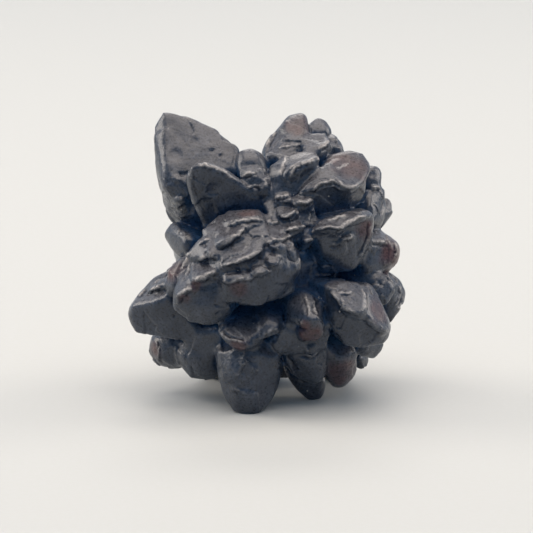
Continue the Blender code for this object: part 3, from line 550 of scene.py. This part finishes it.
def front_ledges(points, seen):
    """Height and sharpness that all ledges of the front add to each vertex."""
    # The lines waver in turns 0.7 mm long, to the side and upwards
    waver = np.zeros((len(points), 3))
    waver[:, 0] = cloud(points, 0.7, 2, 17.0)
    waver[:, 1] = cloud(points, 0.7, 2, 23.0)
    height = np.zeros(len(points))
    sharpness = np.zeros(len(points))
    for ledge in FRONT_LEDGES:
        relief, sharp = ledge_relief(seen + waver * LEDGE_WAVER, ledge)
        height += relief
        sharpness += sharp
    return height, sharpness


def fine_steps(points, seen):
    """Height of the fine growth steps, and how much of the surface is crinkled between them."""
    # The steps bend in waves 3.6 mm long, and stand out more in patches 1.7 mm across
    bend = cloud(points, 3.6, 2, 3.0) * 0.7
    patches = smoothstep(-0.35, 0.35, cloud(points, 1.7, 2, 11.0))
    heights = np.zeros(len(points))
    crinkle = np.full(len(points), LEAST_CRINKLE)
    for zone in ZONES:
        share = zone_share(zone, seen)
        uphill = -np.array(Vector(zone.downhill).normalized())
        turns = seen @ uphill / zone.ledge_spacing + bend
        heights += share * zone.ledge_height * ledge_heights(turns) * (0.45 + 0.55 * patches)
        crinkle = np.maximum(crinkle, share * zone.crinkle)
    return heights, crinkle


def front_pits(seen):
    """Depth of the pits that the front faces show."""
    depth = np.zeros(len(seen))
    for right, up, radius, deepest in FRONT_PITS:
        distance = np.hypot(seen[:, 0] - right, seen[:, 1] - up)
        depth = np.maximum(depth, deepest * smoothstep(radius, radius * 0.25, distance))
    return depth


def carve(mesh):
    """Moves the surface in and out: uneven faces, crinkles, growth ledges and pits.

    It gives back how much sharper the growth ledges of the front make each vertex.
    """
    points = places_of(mesh)
    normals = normals_of(mesh)
    seen = seen_from_front(points)
    facing = facing_front(seen, normals)
    steps, crinkle = fine_steps(points, seen)
    ledges, sharpness = front_ledges(points, seen)
    height = np.full(len(points), OUTWARD)
    for layer in SKIN_LAYERS:
        bulge = cloud(points, layer.size, layer.octaves, layer.shift)
        height += bulge * (layer.height + crinkle * layer.crinkle_share)
    height += steps
    height += ledges * facing
    height -= scattered_pits(points, PIT_SPACING, PIT_RADIUS, PIT_SHARE) * PIT_DEPTH
    height -= front_pits(seen) * facing
    put_places(mesh, points + normals * height[:, None])
    # The painted highlight of the lips and the painted shade of their grooves come in patches half a
    # millimetre across
    patches = 0.25 + 0.75 * smoothstep(-0.3, 0.3, cloud(points, 0.55, 2, 31.0))
    return sharpness * facing * patches


def stand_on_board(mesh):
    """Worn feet are flat where they touch the board."""
    points = places_of(mesh)
    points[:, 2] = np.maximum(points[:, 2], 0.0)
    put_places(mesh, points)


def ways_out():
    """Directions spread evenly all round."""
    golden = math.pi * (3 - math.sqrt(5))
    for index in range(SHELTER_WAYS):
        up = 1 - 2 * (index + 0.5) / SHELTER_WAYS
        ring = math.sqrt(1 - up * up)
        yield Vector((ring * math.cos(golden * index), ring * math.sin(golden * index), up))


def shelter_of(mesh):
    """How shut in each vertex is: 0 on open faces, towards 1 deep between crystals."""
    bm = bmesh.new()
    bm.from_mesh(mesh)
    tree = BVHTree.FromBMesh(bm)
    bm.free()
    ways = list(ways_out())
    shelter = np.empty(len(mesh.vertices))
    for index, vert in enumerate(mesh.vertices):
        start = vert.co + vert.normal * VOXEL
        out = [way for way in ways if way.dot(vert.normal) > 0.1]
        met = sum(tree.ray_cast(start, way, SHELTER_REACH)[0] is not None for way in out)
        shelter[index] = met / max(1, len(out))
    return spread(shelter, edge_ends(mesh), rounds=4)


def redness(points, seen):
    """1 where the skin is worn through to red-brown ore, with ragged borders."""
    ragged = 1 + 0.4 * cloud(points, 1.6, 3, 41.0)
    red = np.zeros(len(points))
    for right, up, near, radius in RED_PLACES:
        distance = np.linalg.norm(seen - np.array((right, up, near)), axis=1) * ragged
        red = np.maximum(red, smoothstep(radius * 1.1, radius * 0.5, distance))
    return red


def mark_skin(mesh, sharpness):
    """Writes what the patina reads: edges, grooves, hollows, depths, tops and red places; hollows, depths
    and grooves as painted shade, tops as painted light, edges as wear with a painted highlight.
    """
    points = places_of(mesh)
    seen = seen_from_front(points)
    upward = normals_of(mesh)[:, 2]
    shelter = shelter_of(mesh)
    rubbed_and_lit = smoothstep(*RUBBED_SHELTER, shelter) * smoothstep(*LIT_EDGE_LEVEL, upward)
    # The hollow, depth and groove marks carry painted shade, the top mark painted light, and the edge mark
    # pale wear with a painted highlight where an edge faces up
    marks = {
        "hollow": smoothstep(*HOLLOW, drift(mesh, HOLLOW_SCALE)[1]),
        "sheltered": smoothstep(*DEPTH_SHELTER, shelter),
        "lit_top": smoothstep(*LIT_TOP_LEVEL, upward) * smoothstep(*LIT_TOP_SHELTER, shelter),
        "worn_and_lit_edge": smoothstep(*WORN_AND_LIT_EDGE, sharpness) * rubbed_and_lit,
        "groove": smoothstep(*GROOVE, -sharpness),
        "iron_red": redness(points, seen),
        "rough_skin": roughness_of(seen),
    }
    for name, values in marks.items():
        put_values(mesh, name, values)


def thin_out(stone, ledge_sharpness):
    """Takes the piece down to its triangle count, still shaded by the fine mesh's normals.

    It gives back how sharp the fine mesh was at each vertex: above 0 on edges, below in grooves.
    """
    mesh = stone.data
    normals = normals_of(mesh)
    sharpness = ledge_sharpness - drift(mesh, EDGE_SCALE)[1]
    tree = KDTree(len(normals))
    for vert in mesh.vertices:
        tree.insert(vert.co, vert.index)
    tree.balance()
    thin = stone.modifiers.new("thin", "DECIMATE")
    thin.ratio = min(1.0, MOST_TRIANGLES / (2 * len(mesh.polygons)))
    finish_modifiers(stone)
    stone.data.shade_smooth()
    nearest = [tree.find(vert.co)[1] for vert in stone.data.vertices]
    stone.data.normals_split_custom_set_from_vertices(normals[nearest])
    return sharpness[nearest]


def make_stone():
    """The whole stone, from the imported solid's copy to the marked skin, back in metres."""
    stone = working_copy()
    regrain(stone)
    wear(stone.data, TIP_ROUNDS, proud_share=TIP_SHARE, hollow_share=0.0)
    even_faces(stone.data)
    wear(stone.data, GAP_ROUNDS, proud_share=0.0, hollow_share=GAP_FILL)
    wear(stone.data, EDGE_ROUNDS, proud_share=1.0, hollow_share=HOLLOW_FILL)
    ledge_sharpness = carve(stone.data)
    wear(stone.data, LAST_ROUNDS, proud_share=1.0, hollow_share=LAST_FILL)
    sharpness = thin_out(stone, ledge_sharpness)
    stand_on_board(stone.data)
    mark_skin(stone.data, sharpness)
    stone.data.transform(Matrix.Scale(MM, 4))
    stone.data.update()
    return stone


def grain_places(stone):
    """Where sand has lodged: the front's own places, and deep hollows picked all round."""
    points = places_of(stone.data) / MM
    seen = seen_from_front(points)
    for right, up in FRONT_GRAINS:
        close = np.flatnonzero(np.hypot(seen[:, 0] - right, seen[:, 1] - up) < GRAIN_SPOT)
        yield points[close[np.argmax(seen[close, 2])]]
    depth = np.empty(len(points), dtype=np.float32)
    stone.data.attributes["hollow"].data.foreach_get("value", depth)
    deep = np.flatnonzero((depth > GRAIN_DEPTH) & (points[:, 2] > GRAIN_LEVEL))
    chance = random.Random(GRAIN_SEED)
    for index in chance.sample(list(deep), MORE_GRAINS):
        yield points[index]


def make_sand_grains(stone):
    """Single grains, each a slightly flattened ball turned its own way, in one piece."""
    chance = random.Random(GRAIN_SEED)
    bm = bmesh.new()
    for place in grain_places(stone):
        radius = chance.uniform(*GRAIN_RADIUS) * MM
        turn = Matrix.Rotation(chance.uniform(0, math.pi), 4, "X")
        flat = Matrix.Diagonal((1.0, chance.uniform(0.7, 1.0), chance.uniform(0.6, 0.9), 1.0))
        spot = Matrix.Translation(Vector(place) * MM)
        bmesh.ops.create_icosphere(bm, subdivisions=1, radius=radius, matrix=spot @ turn @ flat)
    mesh = bpy.data.meshes.new("sand_grains")
    bm.to_mesh(mesh)
    bm.free()
    grains = bpy.data.objects.new("sand_grains", mesh)
    bpy.context.scene.collection.objects.link(grains)
    mesh.materials.append(quartz_sand())
    return grains


# Materials


def linear(hexa):
    """A colour given as sRGB hex, turned to linear."""
    channels = [int(hexa[i:i + 2], 16) / 255 for i in (0, 2, 4)]
    return tuple(c / 12.92 if c <= 0.04045 else ((c + 0.055) / 1.055) ** 2.4 for c in channels) + (1.0,)


def per_metre(size):
    """Texture scale that makes a pattern's lumps this many millimetres across."""
    return 1 / (size * MM)


def new_material(name):
    """A material of this name, with its node tree and its shader."""
    material = bpy.data.materials.new(name)
    material.use_nodes = True
    return material, material.node_tree, material.node_tree.nodes["Principled BSDF"]


def add(tree, kind, inputs, **settings):
    """Adds a node with its settings; an input is a value or another node's output."""
    node = tree.nodes.new(kind)
    for name, value in settings.items():
        setattr(node, name, value)
    for name, value in inputs.items():
        if isinstance(value, bpy.types.NodeSocket):
            tree.links.new(value, node.inputs[name])
        else:
            node.inputs[name].default_value = value
    return node


def goethite_patina():
    """Goethite that sand and hands have worn: brown-black skin with a satin, slightly waxy shine.

    The ore's own index is 2.3, but what shines is the film that handling left on it, near 1.45.
    Faces vary from blue-black to grey where the skin is thin, and some show red-brown ore. Edges
    are worn pale, and where they face up, and on the lips of ledges, a painted highlight is added.
    Tops are painted lighter for the light that falls on them, and hollows, depths and grooves get
    painted blue-black shade.
    """
    material, tree, shader = new_material("goethite_patina")
    place = add(tree, "ShaderNodeTexCoord", {}).outputs["Object"]
    # Mineral grain a quarter of a millimetre across
    grain = add(tree, "ShaderNodeTexNoise", {
        "Vector": place, "Scale": per_metre(0.25), "Detail": 4.0, "Roughness": 0.6}).outputs["Fac"]
    tree.links.new(patina_colour(tree, place, grain), shader.inputs["Base Color"])
    tree.links.new(patina_dullness(tree, grain), shader.inputs["Roughness"])
    tree.links.new(patina_gloss(tree), shader.inputs["Specular IOR Level"])
    tree.links.new(patina_relief(tree, place, grain), shader.inputs["Normal"])
    shader.inputs["IOR"].default_value = 1.43
    # Wax and skin grease from handling, a thin smooth film over the grain
    shader.inputs["Coat Weight"].default_value = 0.28
    shader.inputs["Coat Roughness"].default_value = 0.22
    shader.inputs["Coat IOR"].default_value = 1.45
    return material


def patina_colour(tree, place, grain):
    """Thicker and thinner skin in clouds 2.5 mm across, and over it red ore, worn edges with a painted
    highlight, painted light on tops and painted shade in hollows, depths and grooves.
    """
    clouds = add(tree, "ShaderNodeTexNoise", {
        "Vector": place, "Scale": per_metre(2.5), "Detail": 5.0, "Roughness": 0.6}).outputs["Fac"]
    thin_skin = add(tree, "ShaderNodeMapRange", {
        "Value": clouds, "From Min": 0.38, "From Max": 0.66}).outputs["Result"]
    skin = add(tree, "ShaderNodeMix", {
        0: thin_skin, 6: linear("232b37"), 7: linear("363d48")}, data_type="RGBA").outputs[2]
    # Red-brown ore shows through most where the skin is thin
    bare_ore = add(tree, "ShaderNodeMapRange", {
        "Value": thin_skin, "To Min": 0.25, "To Max": 0.85}).outputs["Result"]
    # Each layer lies over the ones before it: its mark, how much of it shows, and its colour
    layers = (
        ("iron_red", bare_ore, "543936"),
        # painted shade: blue-black where the stone shuts a place in
        ("sheltered", 1.0, "22405f"),
        # painted shade in the hollows
        ("hollow", 1.0, "26344a"),
        # painted light: tops lighter where light falls on them
        ("lit_top", 0.24, "756b63"),
        # edges worn pale, with a painted highlight where they face up and on ledge lips
        ("worn_and_lit_edge", 0.85, "9c958e"),
        # painted shade in the grooves
        ("groove", 0.85, "141a26"),
    )
    for name, showing, colour in layers:
        mark = add(tree, "ShaderNodeAttribute", {}, attribute_name=name).outputs["Fac"]
        share = add(tree, "ShaderNodeMath", {0: mark, 1: showing}, operation="MULTIPLY").outputs[0]
        skin = add(tree, "ShaderNodeMix", {
            0: share, 6: skin, 7: linear(colour)}, data_type="RGBA").outputs[2]
    # Specks where the mineral grain shows through the skin
    speck = add(tree, "ShaderNodeMapRange", {
        "Value": grain, "From Min": 0.32, "From Max": 0.68, "To Min": 0.55, "To Max": 1.6}).outputs["Result"]
    return add(tree, "ShaderNodeVectorMath", {0: skin, 1: speck}, operation="MULTIPLY").outputs[0]


def patina_dullness(tree, grain):
    """Satin all over, duller in the hollows, where dust stays."""
    satin = add(tree, "ShaderNodeMapRange", {
        "Value": grain, "From Min": 0.3, "From Max": 0.7, "To Min": 0.24, "To Max": 0.38}).outputs["Result"]
    hollow = add(tree, "ShaderNodeAttribute", {}, attribute_name="hollow").outputs["Fac"]
    return add(tree, "ShaderNodeMath", {0: hollow, 1: 0.3, 2: satin}, operation="MULTIPLY_ADD").outputs[0]


def patina_gloss(tree):
    """Red-brown ore has lost part of its shiny skin, and the grooves, painted as shade, shine less."""
    red = add(tree, "ShaderNodeAttribute", {}, attribute_name="iron_red").outputs["Fac"]
    groove = add(tree, "ShaderNodeAttribute", {}, attribute_name="groove").outputs["Fac"]
    gloss = add(tree, "ShaderNodeMath", {0: red, 1: -0.25, 2: 0.5}, operation="MULTIPLY_ADD").outputs[0]
    return add(tree, "ShaderNodeMath", {
        0: groove, 1: -0.35, 2: gloss}, operation="MULTIPLY_ADD", use_clamp=True).outputs[0]


def patina_relief(tree, place, grain):
    """The mineral grain, over shallow dents half a millimetre across."""
    dents = add(tree, "ShaderNodeTexNoise", {
        "Vector": place, "Scale": per_metre(0.5), "Detail": 2.0, "Roughness": 0.5}).outputs["Fac"]
    dented = add(tree, "ShaderNodeBump", {
        "Height": dents, "Strength": 0.5, "Distance": 0.07 * MM}).outputs["Normal"]
    rough_skin = add(tree, "ShaderNodeAttribute", {}, attribute_name="rough_skin").outputs["Fac"]
    strength = add(tree, "ShaderNodeMapRange", {
        "Value": rough_skin, "To Min": 0.5, "To Max": 1.0}).outputs["Result"]
    return add(tree, "ShaderNodeBump", {
        "Height": grain, "Strength": strength, "Distance": 0.06 * MM, "Normal": dented}).outputs["Normal"]


def quartz_sand():
    """Grains of the sand that it was found in: pale glassy quartz, stained by iron in patches."""
    material, tree, shader = new_material("quartz_sand")
    place = add(tree, "ShaderNodeTexCoord", {}).outputs["Object"]
    # Patches wider than a grain, so that each grain has a tone of its own
    stain = add(tree, "ShaderNodeTexNoise", {"Vector": place, "Scale": per_metre(0.3)}).outputs["Fac"]
    tone = add(tree, "ShaderNodeMix", {
        0: stain, 6: linear("8d8a86"), 7: linear("c9c1b4")}, data_type="RGBA").outputs[2]
    tree.links.new(tone, shader.inputs["Base Color"])
    # Glassy where it broke, frosted where the sand ground it
    frost = add(tree, "ShaderNodeMapRange", {
        "Value": stain, "To Min": 0.15, "To Max": 0.40}).outputs["Result"]
    tree.links.new(frost, shader.inputs["Roughness"])
    bump = add(tree, "ShaderNodeBump", {"Height": stain, "Strength": 0.3, "Distance": 0.02 * MM})
    tree.links.new(bump.outputs["Normal"], shader.inputs["Normal"])
    shader.inputs["IOR"].default_value = 1.54
    return material


def matt_board():
    """The pale board that the stone stands on: matt paper, its fibres pressed flat and dull."""
    material, tree, shader = new_material("matt_board")
    place = add(tree, "ShaderNodeTexCoord", {}).outputs["Object"]
    # Felted fibres, drawn coarser than life at 0.6 mm so that they show at this distance
    fibres = add(tree, "ShaderNodeTexNoise", {
        "Vector": place, "Scale": per_metre(0.6), "Detail": 3.0}).outputs["Fac"]
    tone = add(tree, "ShaderNodeMix", {
        0: fibres, 6: linear("bebeb7"), 7: linear("c3c3bf")}, data_type="RGBA").outputs[2]
    tree.links.new(tone, shader.inputs["Base Color"])
    dullness = add(tree, "ShaderNodeMapRange", {
        "Value": fibres, "To Min": 0.60, "To Max": 0.70}).outputs["Result"]
    tree.links.new(dullness, shader.inputs["Roughness"])
    bump = add(tree, "ShaderNodeBump", {"Height": fibres, "Strength": 0.25, "Distance": 0.04 * MM})
    tree.links.new(bump.outputs["Normal"], shader.inputs["Normal"])
    return material


# The room


class Lamp(NamedTuple):
    """A soft light: place and size in metres, power in watts, colour as linear red, green, blue."""

    name: str
    place: tuple
    size: tuple
    power: float
    colour: tuple


# One large light above, two at the sides that draw the rims, one behind that skims the tops, and
# a wide one far back that evens the board out. All are warm, and the room fills in cool.
LAMPS = (
    Lamp("overhead", (0.0, -0.02, 0.55), (0.70, 0.60), 3.9, (1.0, 0.89, 0.79)),
    Lamp("rear", (0.0, 0.58, 0.50), (0.36, 0.14), 1.0, (1.0, 0.92, 0.84)),
    Lamp("backdrop", (0.0, 0.9, 0.30), (1.6, 0.6), 1.3, (1.0, 0.91, 0.80)),
    Lamp("left", (-0.50, 0.16, 0.26), (0.30, 0.36), 1.9, (1.0, 0.91, 0.82)),
    Lamp("right", (0.50, 0.16, 0.26), (0.30, 0.36), 1.5, (1.0, 0.91, 0.82)),
)
LAMP_TARGET = Vector((0.0, 0.0, 0.012))
ROOM_COLOUR = (0.48, 0.82, 1.32, 1.0)
ROOM_STRENGTH = 0.29
BOARD_REACH = 1.5


def make_board():
    """A flat square board with the stone at its middle."""
    bm = bmesh.new()
    bmesh.ops.create_grid(bm, x_segments=1, y_segments=1, size=BOARD_REACH)
    mesh = bpy.data.meshes.new("board")
    bm.to_mesh(mesh)
    bm.free()
    board = bpy.data.objects.new("board", mesh)
    bpy.context.scene.collection.objects.link(board)
    mesh.materials.append(matt_board())


def hang_lamp(lamp):
    """A rectangular light turned towards the stone."""
    light = bpy.data.lights.new(lamp.name, "AREA")
    light.shape = "RECTANGLE"
    light.size, light.size_y = lamp.size
    light.energy = lamp.power
    light.color = lamp.colour
    holder = bpy.data.objects.new(lamp.name, light)
    holder.location = lamp.place
    holder.rotation_mode = "QUATERNION"
    holder.rotation_quaternion = (LAMP_TARGET - Vector(lamp.place)).to_track_quat("-Z", "Y")
    bpy.context.scene.collection.objects.link(holder)


def light_the_table():
    """Hangs the lamps, and fills the room with cool light."""
    for lamp in LAMPS:
        hang_lamp(lamp)
    world = bpy.data.worlds.new("room")
    world.use_nodes = True
    background = world.node_tree.nodes["Background"]
    background.inputs["Color"].default_value = ROOM_COLOUR
    background.inputs["Strength"].default_value = ROOM_STRENGTH
    bpy.context.scene.world = world
    bpy.context.scene.view_settings.view_transform = "Standard"


def place_camera():
    """The photograph's view: the square frame is 53.3 mm wide at the stone's nucleus."""
    distance = 0.40
    frame_width = 0.0533
    pixel = frame_width / 533
    nucleus_pixel = (275.0, 262.0)
    middle_pixel = (266.5, 266.5)
    right, up, near = (Vector(row) for row in view_axes())
    lens = bpy.data.cameras.new("photo_view")
    lens.sensor_width = 36.0
    lens.lens = lens.sensor_width * distance / frame_width
    lens.clip_start = 0.01
    camera = bpy.data.objects.new("photo_view", lens)
    aim = NUCLEUS * MM
    aim -= right * (nucleus_pixel[0] - middle_pixel[0]) * pixel
    aim -= up * (middle_pixel[1] - nucleus_pixel[1]) * pixel
    camera.location = aim + near * distance
    camera.rotation_mode = "QUATERNION"
    camera.rotation_quaternion = (-near).to_track_quat("-Z", "Y")
    bpy.context.scene.collection.objects.link(camera)
    bpy.context.scene.camera = camera


place_camera()
light_the_table()
make_board()
stone = make_stone()
stone.data.materials.clear()
stone.data.materials.append(goethite_patina())
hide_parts(NODE)
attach(stone, "root")
grains = make_sand_grains(stone)
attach(grains, "root")

bpy.context.view_layer.update()
